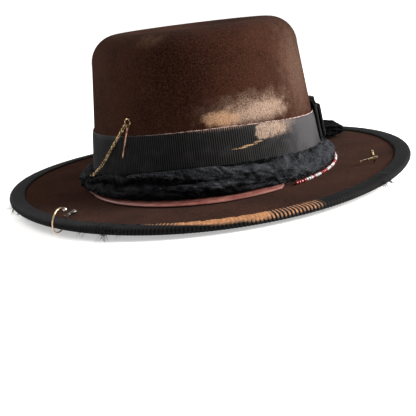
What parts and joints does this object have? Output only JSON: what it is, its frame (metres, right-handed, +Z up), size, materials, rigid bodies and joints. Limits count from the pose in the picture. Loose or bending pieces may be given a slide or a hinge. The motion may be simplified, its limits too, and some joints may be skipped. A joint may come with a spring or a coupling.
{
  "type": "wide-brimmed felt hat",
  "caption": "Flat-topped felt hat with a bound brim, ribbon band and bow, rag wrap, leather strap, bead string, chain, brim hoop with a tube charm and a cross pin.",
  "frame": {"origin": "centre of the head opening, level with the underside of the brim where it breaks from the crown", "axes": "+Z up along the crown, -Y to the front of the hat, +X to the wearer's left, where the bow is"},
  "size_m": [0.3018, 0.3328, 0.1149],
  "materials": {
    "felt": "fine fur felt, rubbed pale in places",
    "binding_ribbon": "ribbed grosgrain, worn coppery along the front",
    "band_ribbon": "ribbed grosgrain",
    "bow_ribbon": "ribbed grosgrain",
    "rag_cloth": "frayed crumpled cotton gauze",
    "strap_leather": "soft matte leather",
    "black_thread": "waxed thread",
    "pale_thread": "looped edge thread",
    "tan_thread": "machine thread",
    "red_glass": "opaque dark red glass",
    "clear_glass": "milky clear glass",
    "gold_plate": "worn gold plate",
    "rose_gold": "satin rose gold",
    "silver_bead": "polished",
    "gunmetal": "dark plated",
    "clutch_nickel": "nickel plated",
    "sweat_leather": "smooth sheepskin",
    "reed_plastic": "clear cast tube",
    "satin": "satin weave",
    "piping_cord": "covered cord"
  },
  "bodies": {
    "hat": {"felt_body": "felt", "brim_binding": "binding_ribbon", "binding_stitches": "black_thread", "hat_band": "band_ribbon", "band_edge_cord": "pale_thread", "bow_long_loops": "bow_ribbon", "bow_short_loops": "bow_ribbon", "bow_knot": "bow_ribbon", "rag_wrap": "rag_cloth", "rag_tail": "rag_cloth", "leather_strap": "strap_leather", "bead_thread": "black_thread", "red_beads": "red_glass", "white_beads": "clear_glass", "chain_links": "gold_plate", "chain_hook": "gold_plate", "chain_anchor_ring": "gold_plate", "sweatband": "sweat_leather", "sweatband_reed": "reed_plastic", "sweatband_stitches": "tan_thread", "sweatband_bow": "bow_ribbon", "lining_side": "satin", "lining_tip": "satin", "lining_piping": "piping_cord"},
    "hoop": {"hoop_ring": "gold_plate", "hoop_ball": "silver_bead"},
    "charm": {"charm_bail": "gunmetal", "tube_charm": "gunmetal"},
    "bar": {"hanging_bar": "rose_gold"},
    "cross": {"cross_pin": "gold_plate"},
    "clutch": {"pin_clutch": "clutch_nickel"}
  },
  "joints": [
    {"name": "hoop_turn", "type": "hinge", "parent": "hat", "child": "hoop", "pos_m": [-0.10304, -0.11438, 0.00482], "axis": [0.8653, -0.4561, -0.2079], "range_deg": [0, 110]},
    {"name": "charm_lift", "type": "hinge", "parent": "hoop", "child": "charm", "pos_m": [-0.09923, -0.10737, 0.00531], "axis": [0.8653, -0.4561, -0.2079], "range_deg": [0, 40]},
    {"name": "bar_swing", "type": "hinge", "parent": "hat", "child": "bar", "pos_m": [-0.05367, -0.07714, 0.05285], "axis": [-0.6944, -0.7124, 0.1012], "range_deg": [-12, 50]},
    {"name": "cross_turn", "type": "hinge", "parent": "hat", "child": "cross", "pos_m": [0.11225, -0.06912, 0.0041], "axis": [-0.1391, -0.0048, 0.9903], "range_deg": [-90, 90]},
    {"name": "clutch_pull", "type": "slide", "parent": "cross", "child": "clutch", "axis": [0.1391, 0.0048, -0.9903], "range_m": [0, 0.008]}
  ]
}
